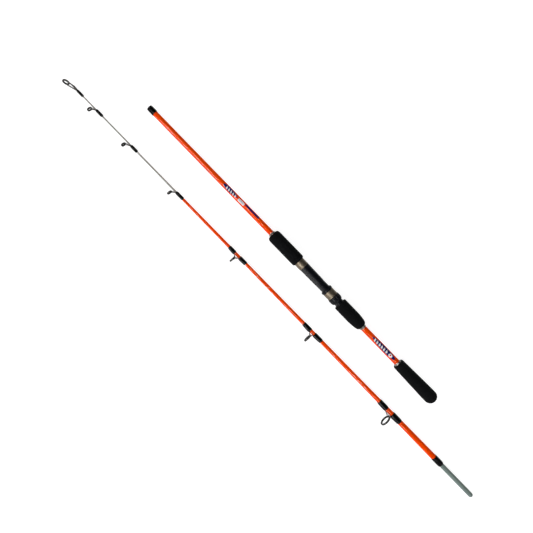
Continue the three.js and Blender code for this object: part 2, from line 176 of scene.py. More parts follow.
# ------------------------------------------------------------------------ materials
class Paint:
    """A Principled material. Its patterns are laid out in millimetres, x along the rod."""

    def __init__(self, name, color, roughness, **settings):
        self.material = bpy.data.materials.new(name)
        self.material.use_nodes = True
        self.tree = self.material.node_tree
        self.shader = self.tree.nodes["Principled BSDF"]
        self.color = (*color, 1)
        self.shader.inputs["Base Color"].default_value = self.color
        self.shader.inputs["Roughness"].default_value = roughness
        for key, value in settings.items():
            self.shader.inputs[key.replace("_", " ")].default_value = value
        place = self.tree.nodes.new("ShaderNodeTexCoord")
        self.scale = self.tree.nodes.new("ShaderNodeVectorMath")
        self.scale.operation = "SCALE"
        self.scale.inputs["Scale"].default_value = 1 / MM
        self.tree.links.new(place.outputs["Object"], self.scale.inputs[0])

    def add(self, kind, **inputs):
        made = self.tree.nodes.new("ShaderNode" + kind)
        for key, value in inputs.items():
            socket = made.inputs[key.replace("_", " ")]
            if isinstance(value, bpy.types.NodeSocket):
                self.tree.links.new(value, socket)
            else:
                socket.default_value = value
        return made

    def stretched(self, stretch):
        return self.add("Mapping", Vector=self.scale.outputs[0], Scale=stretch).outputs[0]

    def cloud(self, size, stretch=(1, 1, 1), detail=3.0):
        """Noise with features of about size mm."""
        where = self.stretched(stretch)
        return self.add("TexNoise", Vector=where, Scale=1 / size, Detail=detail).outputs[0]

    def pores(self, size):
        where = self.stretched((1, 1, 1))
        return self.add("TexVoronoi", Vector=where, Scale=1 / size).outputs["Distance"]

    def bands(self, pitch):
        """Rings round the rod, one every pitch mm."""
        where = self.stretched((1, 1, 1))
        # A wave texture of scale 1 has 20 / (2 pi) waves in a unit.
        wave = self.add("TexWave", Vector=where, Scale=math.tau / (20 * pitch))
        wave.bands_direction = "X"
        return wave.outputs["Fac"]

    def ranged(self, factor, low, high, start=0.3, end=0.7):
        node = self.add("MapRange", Value=factor)
        node.inputs["From Min"].default_value = start
        node.inputs["From Max"].default_value = end
        node.inputs["To Min"].default_value = low
        node.inputs["To Max"].default_value = high
        return node.outputs[0]

    def feed(self, socket, value):
        self.tree.links.new(value, self.shader.inputs[socket])

    def tint(self, factor, other):
        """Base colour that turns towards another one where factor is high."""
        mix = self.tree.nodes.new("ShaderNodeMix")
        mix.data_type = "RGBA"
        self.tree.links.new(factor, mix.inputs["Factor"])
        mix.inputs["A"].default_value = self.color
        mix.inputs["B"].default_value = (*other, 1)
        self.feed("Base Color", mix.outputs["Result"])

    def relief(self, *layers):
        """Bump from (height output, depth in mm) layers, the coarsest first."""
        normal = None
        for height, depth in layers:
            bump = self.add("Bump", Height=height, Distance=depth * MM, Strength=1.0)
            if normal is not None:
                self.tree.links.new(normal, bump.inputs["Normal"])
            normal = bump.outputs[0]
        self.feed("Normal", normal)


def orange_lacquer():
    """Pigmented lacquer on glass fibre, under a clear coat."""
    paint = Paint("orange_lacquer", (0.98, 0.07, 0.0), 0.4, Specular_IOR_Level=0.0,
                  Coat_Weight=0.2, Coat_Roughness=0.05, Coat_IOR=2.5)
    fibres = paint.cloud(0.7, stretch=(0.05, 1, 1), detail=4)
    paint.tint(paint.ranged(fibres, 0.0, 0.55), (0.88, 0.048, 0.0))
    paint.feed("Roughness", paint.ranged(paint.cloud(4), 0.3, 0.46))
    paint.relief((paint.cloud(9, stretch=(0.4, 1, 1)), 0.05), (fibres, 0.006))
    return paint.material


def wound_thread():
    """Black winding thread drowned in clear epoxy."""
    paint = Paint("wound_thread", (0.0003, 0.0003, 0.0004), 0.35, Specular_IOR_Level=0.03,
                  Coat_Weight=0.22, Coat_Roughness=0.05)
    turns = paint.bands(0.42)
    paint.tint(paint.ranged(turns, 0.0, 0.8, 0.2, 0.9), (0.0012, 0.0012, 0.0017))
    paint.feed("Roughness", paint.ranged(paint.cloud(1.5), 0.25, 0.45))
    paint.relief((turns, 0.05), (paint.cloud(0.2, stretch=(2, 0.3, 0.3)), 0.01))
    return paint.material


def eva_foam():
    """Closed-cell foam, sanded matt."""
    paint = Paint("eva_foam", (0.001, 0.0012, 0.0016), 0.85, Specular_IOR_Level=0.05,
                  Sheen_Weight=0.02, Sheen_Roughness=0.5)
    cells = paint.pores(0.35)
    paint.tint(paint.ranged(paint.cloud(0.9, detail=6), 0.0, 1.0), (0.0052, 0.0058, 0.0068))
    paint.feed("Roughness", paint.ranged(paint.cloud(3), 0.74, 0.95))
    paint.relief((paint.cloud(2.4), 0.1), (paint.cloud(0.5, detail=5), 0.07), (cells, 0.05))
    return paint.material


def turned_metal(name, color, roughness, depth=0.004):
    """Metal with the fine rings that turning or polishing on a lathe leaves."""
    paint = Paint(name, color, roughness, Metallic=1.0)
    marks = paint.cloud(0.25, stretch=(1, 0.02, 0.02), detail=2)
    stain = paint.cloud(2.5, detail=4)
    paint.tint(paint.ranged(stain, 0.0, 0.6, 0.35, 0.75), tuple(0.72 * c for c in color))
    paint.feed("Roughness", paint.ranged(marks, 0.75 * roughness, 1.35 * roughness))
    paint.relief((marks, depth))
    return paint.material


def moulded_graphite():
    """Carbon-filled moulded plastic with a faint flow pattern."""
    paint = Paint("moulded_graphite", (0.0022, 0.0028, 0.005), 0.42, Specular_IOR_Level=0.13)
    flow = paint.cloud(3.0, stretch=(0.3, 1, 1), detail=5)
    paint.tint(paint.ranged(flow, 0.0, 0.8), (0.005, 0.006, 0.009))
    paint.feed("Roughness", paint.ranged(paint.cloud(0.8), 0.34, 0.52))
    paint.relief((paint.cloud(0.22, detail=4), 0.012))
    return paint.material


def guide_steel():
    """Stamped and tumbled steel, darkened where it is handled least."""
    paint = Paint("guide_steel", (0.07, 0.065, 0.058), 0.32, Metallic=1.0)
    grain = paint.cloud(0.35, detail=5)
    paint.tint(paint.ranged(paint.cloud(1.6), 0.0, 0.9), (0.035, 0.031, 0.027))
    paint.feed("Roughness", paint.ranged(grain, 0.2, 0.38))
    paint.relief((grain, 0.01))
    return paint.material


def ring_ceramic():
    """Dense black oxide, polished where the line runs."""
    paint = Paint("ring_ceramic", (0.002, 0.002, 0.0023), 0.2, Specular_IOR_Level=0.12)
    speckle = paint.cloud(0.12, detail=2)
    paint.tint(paint.ranged(speckle, 0.0, 1.0, 0.55, 0.8), (0.007, 0.007, 0.0076))
    paint.feed("Roughness", paint.ranged(paint.cloud(0.9), 0.1, 0.24))
    paint.relief((speckle, 0.003))
    return paint.material


def white_fibre():
    """Solid glass-fibre tip: milky resin with lengthwise fibres, ground to a taper, its colour
    darkened by painted shade.
    """
    # Base colour is grey-beige rather than milky white: painted shade, so the thin tip reads dark as
    # on its shaded side.
    paint = Paint(
        "white_fibre", (0.34, 0.315, 0.285), 0.36, Coat_Weight=0.3, Coat_Roughness=0.12,
        Subsurface_Weight=0.15, Subsurface_Radius=(0.001, 0.001, 0.001),
    )
    strands = paint.cloud(0.3, stretch=(0.02, 1, 1), detail=4)
    paint.tint(paint.ranged(strands, 0.0, 1.0), (0.22, 0.2, 0.175))
    paint.feed("Roughness", paint.ranged(paint.cloud(1.2), 0.28, 0.46))
    paint.relief((strands, 0.012), (paint.bands(0.9), 0.006))
    return paint.material


def ground_fibre():
    """Ground, unlacquered fibre of the spigot, with grinding rings and rub marks."""
    paint = Paint("ground_fibre", (0.155, 0.205, 0.185), 0.55, Specular_IOR_Level=0.2)
    rings = paint.cloud(0.5, stretch=(1, 0.05, 0.05), detail=4)
    rubbed = paint.cloud(5, stretch=(0.15, 1, 1), detail=4)
    paint.tint(paint.ranged(rubbed, 0.0, 0.9), (0.2, 0.255, 0.235))
    paint.feed("Roughness", paint.ranged(rings, 0.45, 0.68))
    paint.relief((paint.bands(1.1), 0.02), (rings, 0.02))
    return paint.material


def paper_tape():
    paint = Paint("paper_tape", (0.45, 0.34, 0.18), 0.8)
    crepe = paint.cloud(0.4, stretch=(2.5, 1, 1), detail=4)
    paint.tint(paint.ranged(crepe, 0.0, 1.0), (0.36, 0.26, 0.13))
    paint.relief((paint.bands(4), 0.05), (crepe, 0.06))
    return paint.material


def soft_rubber():
    paint = Paint("soft_rubber", (0.02, 0.02, 0.02), 0.7)
    paint.tint(paint.ranged(paint.cloud(1.5), 0.0, 1.0), (0.03, 0.03, 0.03))
    paint.relief((paint.cloud(0.3, detail=4), 0.02))
    return paint.material


def printed_film(name, color):
    """Printed transfer under the clear coat, with the dots of its screen."""
    paint = Paint("film_" + name, color, 0.4, Specular_IOR_Level=0.0,
                  Coat_Weight=0.4, Coat_Roughness=0.06)
    paint.tint(paint.ranged(paint.pores(0.25), 0.0, 0.3), tuple(0.7 * c for c in color))
    paint.relief((paint.cloud(0.6), 0.004))
    return paint.material


MATERIALS = {
    "orange_gloss": orange_lacquer(),
    "black_thread": wound_thread(),
    "eva_foam": eva_foam(),
    "trim_ring": turned_metal("satin_aluminium", (0.27, 0.255, 0.23), 0.3),
    "graphite_plastic": moulded_graphite(),
    "hood_metal": turned_metal("polished_steel", (0.19, 0.158, 0.115), 0.52, depth=0.003),
    "arbor_tape": paper_tape(),
    "plug_rubber": soft_rubber(),
    "guide_metal": guide_steel(),
    "ceramic": ring_ceramic(),
    "white_glass_fibre": white_fibre(),
    "spigot_grey": ground_fibre(),
}


# ------------------------------------------------------------------- mesh functions
def grid_faces(rows, columns, close_rows=False, close_columns=False):
    """Faces of a grid of vertices that may close on itself either way."""
    i, j = np.meshgrid(
        np.arange(rows if close_rows else rows - 1),
        np.arange(columns if close_columns else columns - 1),
        indexing="ij",
    )
    k, m = (i + 1) % rows, (j + 1) % columns
    corners = [i * columns + j, i * columns + m, k * columns + m, k * columns + j]
    return np.stack(corners, -1).reshape(-1, 4)


def rounded(points, steps=4):
    """Closed outline from (x, radius, rounding) points, with each corner rounded."""
    made = []
    for i, (x, r, rounding) in enumerate(points):
        here = np.array((x, r), float)
        before = np.array(points[i - 1][:2]) - here
        after = np.array(points[(i + 1) % len(points)][:2]) - here
        reach = min(rounding, 0.45 * np.linalg.norm(before), 0.45 * np.linalg.norm(after))
        if reach < 1e-6:
            made.append(here)
            continue
        start = here + before / np.linalg.norm(before) * reach
        end = here + after / np.linalg.norm(after) * reach
        for t in np.linspace(0, 1, steps + 1):
            made.append(start * (1 - t) ** 2 + here * 2 * t * (1 - t) + end * t * t)
    return np.array(made)


def refined(outline, step):
    """The same closed outline with no piece of it longer than step."""
    made = []
    for a, b in zip(outline, np.roll(outline, -1, 0)):
        parts = max(1, math.ceil(np.linalg.norm(b - a) / step))
        made.extend(a + (b - a) * k / parts for k in range(parts))
    return np.array(made)


def quarter(x, r, across, high, start, end, steps=10):
    """Stretch of an ellipse about (x, r), as (x, radius, 0) points."""
    angles = np.radians(np.linspace(start, end, steps + 1))
    return [(x + across * math.cos(a), r + high * math.sin(a), 0) for a in angles]


def turned(outline, sides=96, shape=None):
    """Solid turned about the axis from a closed outline whose outside runs towards +x.
    shape(x, radius, angle) may change the radius, the angle counting from up."""
    n = len(outline)
    x = np.repeat(outline[:, :1], sides, 1)
    r = np.repeat(outline[:, 1:2], sides, 1)
    angle = np.repeat(np.arange(sides)[None, :] * math.tau / sides, n, 0)
    if shape:
        r = shape(x, r, np.where(angle > math.pi, angle - math.tau, angle))
    vertices = np.stack([x, r * np.cos(angle), r * np.sin(angle)], -1).reshape(-1, 3)
    return vertices, grid_faces(n, sides, True, True)


def smooth_path(points):
    """Catmull-Rom curve through the points."""
    before = 2 * np.array(points[0]) - points[1]
    after = 2 * np.array(points[-1]) - points[-2]
    p = np.array([before, *points, after])
    made = []
    for a, b, c, d in zip(p, p[1:], p[2:], p[3:]):
        for t in np.linspace(0, 1, STRIP_STEPS, endpoint=False):
            made.append(
                0.5 * (2 * b + (c - a) * t + (2 * a - 5 * b + 4 * c - d) * t**2
                       + (3 * b - a - 3 * c + d) * t**3)
            )
    return np.array([*made, points[-1]])


def strip(points, width, thickness):
    """Rounded strip along a curve, its width across the curve and the up direction.
    width and thickness are numbers, or (at the start, at the end)."""
    path = smooth_path([np.array(q, float) for q in points])
    along = np.gradient(path, axis=0)
    along /= np.linalg.norm(along, axis=1, keepdims=True)
    wide = np.cross(along, (0, 1.0, 0.0))
    wide[np.linalg.norm(wide, axis=1) < 1e-3] = (0, 0, 1)
    wide /= np.linalg.norm(wide, axis=1, keepdims=True)
    thick = np.cross(wide, along)
    t = np.linspace(0, 1, len(path))[:, None]
    half_width = np.interp(t, (0, 1), np.broadcast_to(width, 2)) / 2
    half_thick = np.interp(t, (0, 1), np.broadcast_to(thickness, 2)) / 2
    a = np.arange(STRIP_SIDES) * math.tau / STRIP_SIDES
    # A squared ellipse, so that the strip has flats and rounded edges.
    across = np.sign(np.cos(a)) * np.abs(np.cos(a)) ** 0.7
    over = np.sign(np.sin(a)) * np.abs(np.sin(a)) ** 0.7
    vertices = (
        path[:, None, :]
        + (half_width * across)[:, :, None] * wide[:, None, :]
        + (half_thick * over)[:, :, None] * thick[:, None, :]
    )
    faces = [list(f) for f in grid_faces(len(path), STRIP_SIDES, False, True)]
    faces.append(list(range(STRIP_SIDES)))
    last = (len(path) - 1) * STRIP_SIDES
    faces.append([last + k for k in reversed(range(STRIP_SIDES))])
    return vertices.reshape(-1, 3), faces


def wobble(vertices, size, depth):
    """Moves points of a turned solid out and in by up to depth mm, in lumps of size mm."""
    radial = vertices * (0, 1, 1)
    length = np.linalg.norm(radial, axis=1, keepdims=True)
    amount = np.array([noise.noise(Vector(v) / size) for v in vertices])
    return vertices + radial / np.maximum(length, 1e-6) * amount[:, None] * depth


def joined(parts):
    """Vertices and faces of several closed skins in one list."""
    vertices, faces, count = [], [], 0
    for part_vertices, part_faces in parts:
        vertices.append(part_vertices)
        faces.extend([int(i) + count for i in face] for face in part_faces)
        count += len(part_vertices)
    return np.vstack(vertices), faces


def mesh_of(name, vertices, faces):
    """Mesh in metres from millimetre points, with poles merged and nothing loose."""
    mesh = bpy.data.meshes.new(name)
    mesh.from_pydata((np.asarray(vertices) * MM).tolist(), [], np.asarray(faces).tolist()
                     if isinstance(faces, np.ndarray) else faces)
    bm = bmesh.new()
    bm.from_mesh(mesh)
    bmesh.ops.remove_doubles(bm, verts=bm.verts, dist=1e-8)
    bmesh.ops.dissolve_degenerate(bm, edges=bm.edges, dist=1e-9)
    bmesh.ops.delete(bm, geom=[e for e in bm.edges if not e.link_faces], context="EDGES")
    bmesh.ops.delete(bm, geom=[v for v in bm.verts if not v.link_faces], context="VERTS")
    bm.to_mesh(mesh)
    bm.free()
    return mesh


def fused(name, parts):
    """One even skin round overlapping solids, its inner corners softened as on a casting."""
    vertices, faces = joined(parts)
    mesh = bpy.data.meshes.new(name)
    mesh.from_pydata(vertices.tolist(), [], faces)
    rough = bpy.data.objects.new(name, mesh)
    bpy.context.scene.collection.objects.link(rough)
    skin = rough.modifiers.new("skin", "REMESH")
    skin.mode = "VOXEL"
    skin.voxel_size = SKIN_VOXEL
    soft = rough.modifiers.new("soft", "SMOOTH")
    soft.factor = 0.5
    soft.iterations = 5
    graph = bpy.context.evaluated_depsgraph_get()
    made = bpy.data.meshes.new_from_object(rough.evaluated_get(graph))
    bpy.data.objects.remove(rough)
    made.transform(Matrix.Scale(MM, 4))
    return made


def remake(node, section, mesh, sharp=32):
    """Finished piece that stands for a CAD node: same body, same slot."""
    mesh.materials.clear()
    mesh.materials.append(MATERIALS[SLOT_OF[node]])
    mesh.shade_smooth()
    mesh.set_sharp_from_angle(angle=math.radians(sharp))
    mesh.transform(section.matrix)
    piece = bpy.data.objects.new(node + "_fine", mesh)
    bpy.context.scene.collection.objects.link(piece)
    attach(piece, frame["nodes"][node]["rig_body"])
    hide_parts(node)
    return piece


def lathe(node, section, points, sides=96, shape=None, step=None, lumps=None):
    """Turned piece for a CAD node, from (x, radius, rounding) points."""
    outline = rounded(points)
    if step:
        outline = refined(outline, step)
    vertices, faces = turned(outline, sides, shape)
    if lumps:
        vertices = wobble(vertices, *lumps)
    return remake(node, section, mesh_of(node, vertices, faces))


# --------------------------------------------------------------------- butt section
def blank(node, section):
    """Tapered tube with the CAD's radii."""
    rows = section.rings(node)
    ends = (rows[0][0], rows[-1][0])
    outer = [(x, r, 0.15 if x in ends else 0) for x, r, _ in rows]
    bore = [(x, r, 0.1 if x in ends else 0) for x, _, r in reversed(rows)]
    lathe(node, section, outer + bore, sides=72, step=18)


def smoothstep(t):
    t = np.clip(t, 0, 1)
    return t * t * (3 - 2 * t)


def plain_wrap(node, section, pitch=0.42):
    """Thread wrap with nothing under it: a low crown, with turns showing through."""
    rear, front = section.span(node)
    rows = section.rings(node)
    bore = min(row[2] for row in rows) - 0.15
    edge = rows[0][1] - 0.25
    crown = max(row[1] for row in rows)

    def wound(x, r, angle):
        inside = np.minimum(x - rear, front - x)
        height = edge + (crown - edge) * smoothstep(inside / 3)
        ridge = 0.008 * np.cos(math.tau * x / pitch + angle) * smoothstep(inside / 1.2)
        return np.where(r > bore + 0.01, height + ridge, r)

    points = [(rear, edge, 0.25), (front, edge, 0.25), (front, bore, 0), (rear, bore, 0)]
    lathe(node, section, points, sides=80, shape=wound, step=pitch / 5)


def foam_tube(node, rear_round, front_round):
    """Foam grip with a rounding, given as (length, height), at each end."""
    rear, front = butt.span(node)
    radius = max(row[1] for row in butt.rings(node)) - FOAM_LUMPS[1]
    bore = min(row[2] for row in butt.rings(node)) - 0.3
    rear_length, rear_height = rear_round
    front_length, front_height = front_round
    points = [
        (rear, bore, 0),
        (rear, radius - rear_height - 0.6, 0.4),
        *quarter(rear + rear_length, radius - rear_height, rear_length, rear_height, 180, 90),
        *quarter(front - front_length, radius - front_height, front_length, front_height, 90, 0),
        (front, radius - front_height - 0.6, 0.4),
        (front, bore, 0),
    ]
    piece = lathe(node, butt, points, sides=128, step=0.9, lumps=FOAM_LUMPS)


def butt_foam():
    """Blind butt grip: a domed end, full for a third of its length, then a taper."""
    rear, front = butt.span("butt_grip")
    radius = max(row[1] for row in butt.rings("butt_grip")) - FOAM_LUMPS[1]
    neck = radius - 2.0
    points = [
        *quarter(rear + 12, 0, 12, radius, 180, 90, steps=16),
        (rear + 24, radius, 6),
        *quarter(front - 3, neck - 1.6, 3, 1.6, 90, 0, steps=6),
        (front, 6.2, 0.3),
        (rear + 11.7, 6.2, 0),
        (rear + 11.7, 0, 0),
    ]
    piece = lathe("butt_grip", butt, points, sides=128, step=0.9, lumps=FOAM_LUMPS)


def winding_check(node):
    """Turned metal cone with two grooves, thick end against the grip."""
    rear, front = butt.span(node)
    rows = butt.rings(node)
    bore = min(row[2] for row in rows) - 0.15
    first, last = rows[0][1], rows[-1][1]
    points = [(rear, bore, 0), (rear, first, 0.3)]
    for share in (0.3, 0.6):
        x = rear + share * (front - rear)
        r = first + share * (last - first)
        points += [(x - 0.25, r, 0.05), (x, r - 0.22, 0.05), (x + 0.25, r, 0.05)]
    points += [(front, last, 0.3), (front, bore, 0)]
    lathe(node, butt, points)


def reel_seat():
    """Barrel with a helical thread at its rear and a flat deck cut along it."""
    rear, front = butt.span("seat_body")
    step_rear = butt.span("fixed_hood_shell")[0] - GAP
    full = max(row[1] for row in butt.rings("seat_body"))

    def shape(x, r, angle):
        turn = (x / THREAD_PITCH - angle / math.tau) % 1
        groove = np.clip(2.2 - 5.5 * np.abs(turn - 0.5), 0, 1)
        run = smoothstep((x - rear) / 1.5) * smoothstep((THREAD_FRONT - 1 - x) / 2)
        threaded = (r > SEAT_BORE + 1) & (x < THREAD_FRONT)
        r = r - np.where(threaded, THREAD_DEPTH * groove * run, 0)
        facing_up = np.cos(angle) > 0.3
        deck = DECK_HEIGHT / np.maximum(np.cos(angle), 0.3)
        flattened = facing_up & (x < DECK_FRONT) & (r > SEAT_BORE + 0.3)
        return np.where(flattened, np.minimum(r, deck), r)

    points = [
        (rear, SEAT_BORE, 0),
        (rear, SEAT_CREST, 0.4),
        (THREAD_FRONT, SEAT_CREST, 0.2),
        *[(x, r, 0.6) for x, r in WAIST],
        (step_rear, full, 0.3),
        (step_rear, SEAT_NECK, 0),
        (DECK_FRONT - 0.02, SEAT_NECK, 0),
        (DECK_FRONT + 0.02, SEAT_NECK, 0),
        (front, SEAT_NECK, 0.2),
        (front, SEAT_BORE, 0),
    ]
    lathe("seat_body", butt, points, sides=360, shape=shape, step=0.3)


def hood_shell(node):
    """Polished sleeve with a rolled bead at its rear."""
    rear, front = butt.span(node)
    rows = butt.rings(node)
    bore, outer = min(row[2] for row in rows), max(row[1] for row in rows)
    bead = outer + HOOD_BEAD
    points = [
        (rear, bore, 0.1),
        (rear, bead, 0.3),
        (rear + 1.1, bead, 0.3),
        (rear + 1.5, outer, 0.2),
        (front, outer, 0.15),
        (front, bore, 0.1),
    ]
    lathe(node, butt, points, sides=128)


def sliding_hood():
    """Moulded carrier of the sliding hood, with a notched collar at its front."""
    rear, front = butt.span("moving_hood")
    rows = butt.rings("moving_hood")
    bore, lip = min(row[2] for row in rows), max(row[1] for row in rows)
    shell_front = butt.span("moving_hood_shell")[1]
    wall = min(row[2] for row in butt.rings("moving_hood_shell")) - 0.12

    def notched(x, r, angle):
        on_lip = smoothstep((x - shell_front - 1.0) / 0.8) * smoothstep((front - 0.8 - x) / 0.8)
        notch = np.clip(np.cos(COLLAR_NOTCHES * angle), 0, 1) ** 4
        return np.where(r > wall + 0.5, r - 0.28 * notch * on_lip, r)

    points = [
        (rear, bore, 0.3),
        (rear, wall, 0.2),
        (shell_front + 0.1, wall, 0),
        (shell_front + 0.15, lip - 0.6, 0.3),
        (shell_front + 2.0, lip, 0.9),
        (front - 1.2, lip, 0.7),
        (front, lip - 0.7, 0.5),
        (front, bore, 0.4),
    ]
    lathe("moving_hood", butt, points, sides=288, shape=notched, step=0.5)


def hand_nut():
    """Lock nut with broad finger grooves that run out into its chamfers."""
    rear, front = butt.span("lock_nut")
    outer = max(row[1] for row in butt.rings("lock_nut")) - 0.02
    bore = min(row[2] for row in butt.rings("lock_nut"))

    def grooved(x, r, angle):
        groove = np.clip(np.cos(NUT_LOBES * angle + math.pi), 0, 1) ** 1.5
        reach = smoothstep((x - rear - 1.6) / 1.6) * smoothstep((front - 1.3 - x) / 1.0)
        return np.where(r > bore + 1.4, r - 0.75 * groove * reach, r)

    points = [
        (rear, bore + 0.5, 0.2),
        (rear, bore + 0.95, 0.4),
        (rear + 3.6, outer, 1.4),
        (front - 0.9, outer, 0.6),
        (front, outer - 0.8, 0.4),
        (front, bore + 0.4, 0.3),
        (front - 0.6, bore, 0.1),
        (rear + 0.6, bore, 0.1),
    ]
    lathe("lock_nut", butt, points, sides=320, shape=grooved, step=0.45)


def tape_arbor(node):
    """Sleeve of wound tape, with a small step where one turn ends."""
    rear, front = butt.span(node)
    rows = butt.rings(node)
    bore, outer = min(row[2] for row in rows), max(row[1] for row in rows)
    edge = 0.08
    points = [(rear, bore, edge), (rear, outer, edge)]
    for share in (0.33, 0.66):
        x = rear + share * (front - rear)
        points += [(x, outer, 0.02), (x + 0.1, outer - TAPE_LINE, 0.02), (x + 0.4, outer, 0.02)]
    points += [(front, outer, edge), (front, bore, edge)]
    lathe(node, butt, points, sides=64)


def solid_of(node, section, rounding):
    """Solid turned piece with the CAD's radii, rounded at its ends."""
    rows = section.rings(node)
    ends = (0, len(rows) - 1)
    outer = [(x, r, rounding if i in ends else 0) for i, (x, r, _) in enumerate(rows)]
    points = [(rows[0][0], 0, 0), *outer, (rows[-1][0], 0, 0)]
    lathe(node, section, points, sides=64, step=12)


# ---------------------------------------------------------------------------- decals
def film(name, color_name, start, end, low, high, lift):
    """Thin printed film on the butt blank between two places along it. low and high give
    its edges as angles in degrees at a share of its length."""
    rows = butt.rings("butt_blank")
    along = max(3, math.ceil((end - start) / DECAL_STEP))
    around = FILM_AROUND
    share = np.linspace(0, 1, along)[:, None]
    x = start + (end - start) * share
    edge_a = np.radians([[low(float(t))] for t in share[:, 0]])
    edge_b = np.radians([[high(float(t))] for t in share[:, 0]])
    angle = edge_a + (edge_b - edge_a) * np.linspace(0, 1, around)[None, :]
    rod = np.interp(x, [row[0] for row in rows], [row[1] for row in rows])
    x = np.broadcast_to(x, angle.shape)
    skins = []
    for radius in (rod + lift, rod + lift - FILM_THICKNESS):
        radius = np.broadcast_to(radius, angle.shape)
        points = [x, radius * np.cos(angle), radius * np.sin(angle)]
        skins.append(np.stack(points, -1).reshape(-1, 3))
    count = along * around
    top = grid_faces(along, around)
    under = top[:, ::-1] + count
    rim = [i * around for i in range(along)]
    rim += [(along - 1) * around + j for j in range(1, around)]
    rim += [i * around + around - 1 for i in reversed(range(along - 1))]
    rim += [j for j in reversed(range(1, around - 1))]
    walls = [[a, b, b + count, a + count] for a, b in zip(rim, rim[1:] + rim[:1])]
    mesh = mesh_of(name, np.vstack(skins), [*top.tolist(), *under.tolist(), *walls])
    mesh.materials.append(FILMS[color_name])
    mesh.shade_smooth()
    mesh.transform(butt.matrix)
    piece = bpy.data.objects.new(name, mesh)
    bpy.context.scene.collection.objects.link(piece)
    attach(piece, "butt_section")


FILMS = {
    "navy": printed_film("navy", (0.012, 0.012, 0.11)),
    "white": printed_film("white", (0.92, 0.91, 0.93)),
    "red": printed_film("red", (0.62, 0.02, 0.015)),
    "grey": printed_film("grey", (0.3, 0.3, 0.45)),
}


def lens(middle, half, point=0.0):
    """Edges of a long leaf shape about an angle; point moves its widest place."""
    def width(t):
        return half * math.sin(math.pi * min(max(t, 0.0), 1.0) ** (1 + point)) ** 0.6
    return (lambda t: middle - width(t)), (lambda t: middle + width(t))


def slanted_bars(name, count, start, pitch, width, middle, half):
    """Row of short bars across a flash, each one leaning along the rod."""
    def low(t):
        return middle - half + BAR_SLANT * t

    def high(t):
        return middle + half - BAR_SLANT * (1 - t)

    for k in range(count):
        at = start + k * pitch
        film(f"{name}_{k + 1}", "white", at, at + width, low, high, PRINT_LIFT)


def straight(angle):
    """Edge of a film that stays at one angle."""
    return lambda t: angle


def decals():
    """Plain printed trim: two leaf-shaped flashes with bars, a plate and a long stripe."""
    film("front_flash", "navy", 537, 575, *lens(72, 46, 0.25), FLASH_LIFT)
    slanted_bars("front_flash_bar", 5, 541, 5.6, 3.0, 62, 34)
    film("front_plate", "white", 519, 534.5, straight(36), straight(92), FLASH_LIFT)
    film("front_plate_line_1", "grey", 521.5, 532, straight(52), straight(58), PRINT_LIFT)
    film("front_plate_line_2", "grey", 521.5, 528, straight(70), straight(76), PRINT_LIFT)
    film("front_stripe", "navy", 481, 517, straight(74), straight(112), FLASH_LIFT)
    film("rear_flash", "navy", 111, 172, *lens(70, 50, -0.2), FLASH_LIFT)
    slanted_bars("rear_flash_bar", 6, 131, 6.2, 3.4, 62, 36)
    film("rear_flash_disc", "white", 118, 127, *lens(64, 34), PRINT_LIFT)
    film("rear_flash_mark", "red", 120.5, 124.5, *lens(64, 18), MARK_LIFT)


# ----------------------------------------------------------------------- tip section
class Guide:
    """Place, lean and radius of a guide's ring, read from its CAD node."""

    def __init__(self, name):
        self.name = name
        p = tip.local(name + "_ring")
        self.middle = (p.min(0) + p.max(0)) / 2
        normal = np.linalg.svd(p - self.middle, full_matrices=False)[2][2]
        normal = normal * np.sign(normal[0])
        self.lean = math.atan2(-normal[1], normal[0])
        away = (p - self.middle) - np.outer((p - self.middle) @ normal, normal)
        self.ring_radius = np.linalg.norm(away, axis=1).max()
        self.band_radius = self.ring_radius + GAP + BAND_WALL
        self.normal = normal

    def put(self, solid):
        """Moves a solid turned about the axis at x = 0 to the ring's place."""
        vertices, faces = solid
        c, s = math.cos(self.lean), math.sin(self.lean)
        turn = np.array([(c, s, 0), (-s, c, 0), (0, 0, 1)])
        return vertices @ turn.T + self.middle, faces

    def on_band(self, degrees, inset=0.25, ahead=0.0):
        """Point on the band at an angle from the side nearest the rod."""
        r = self.band_radius - inset
        a = math.radians(degrees)
        toward = np.array((-math.sin(self.lean), -math.cos(self.lean), 0))
        flank = np.array((0, 0, 1))
        return self.middle + r * (math.cos(a) * toward + math.sin(a) * flank) + ahead * self.normal


def ring_liner(guide, wall=RING_WALL):
    """Ceramic ring with a rounded bore and a flange over each face of its band."""
    outer = guide.band_radius
    inner = guide.ring_radius - wall[0] - wall[1] * guide.ring_radius
    half = RING_HALF
    flange = 0.6
    seat = guide.ring_radius - 0.2
    points = [
        (-half, outer - 0.5, 0.4),
        (-half + 0.3, outer - 0.02, 0.25),
        (-half + flange, outer - 0.02, 0.1),
        (-half + flange, seat, 0),
        (half - flange, seat, 0),
        (half - flange, outer - 0.02, 0.1),
        (half - 0.3, outer - 0.02, 0.25),
        (half, outer - 0.5, 0.4),
        (half, inner + 0.5, 0.5),
        (0.4, inner, 0.8),
        (-0.4, inner, 0.8),
        (-half, inner + 0.5, 0.5),
    ]
    vertices, faces = guide.put(turned(rounded(points, steps=6), 120))
    remake(guide.name + "_ring", tip, mesh_of(guide.name, vertices, faces))


def band(guide):
    half = BAND_WIDTH / 2
    inner = guide.ring_radius - 0.1
    points = [
        (-half, guide.band_radius, 0.25),
        (half, guide.band_radius, 0.25),
        (half, inner, 0),
        (-half, inner, 0),
    ]
    return guide.put(turned(rounded(points), 120))


def rod_radius(x):
    """Outer radius of the tip section's blank or solid tip at x."""
    end = tip.span("tip_blank")[1]
    rows = tip.rings("tip_blank" if x <= end else "solid_tip")
    return float(np.interp(x, [row[0] for row in rows], [row[1] for row in rows]))


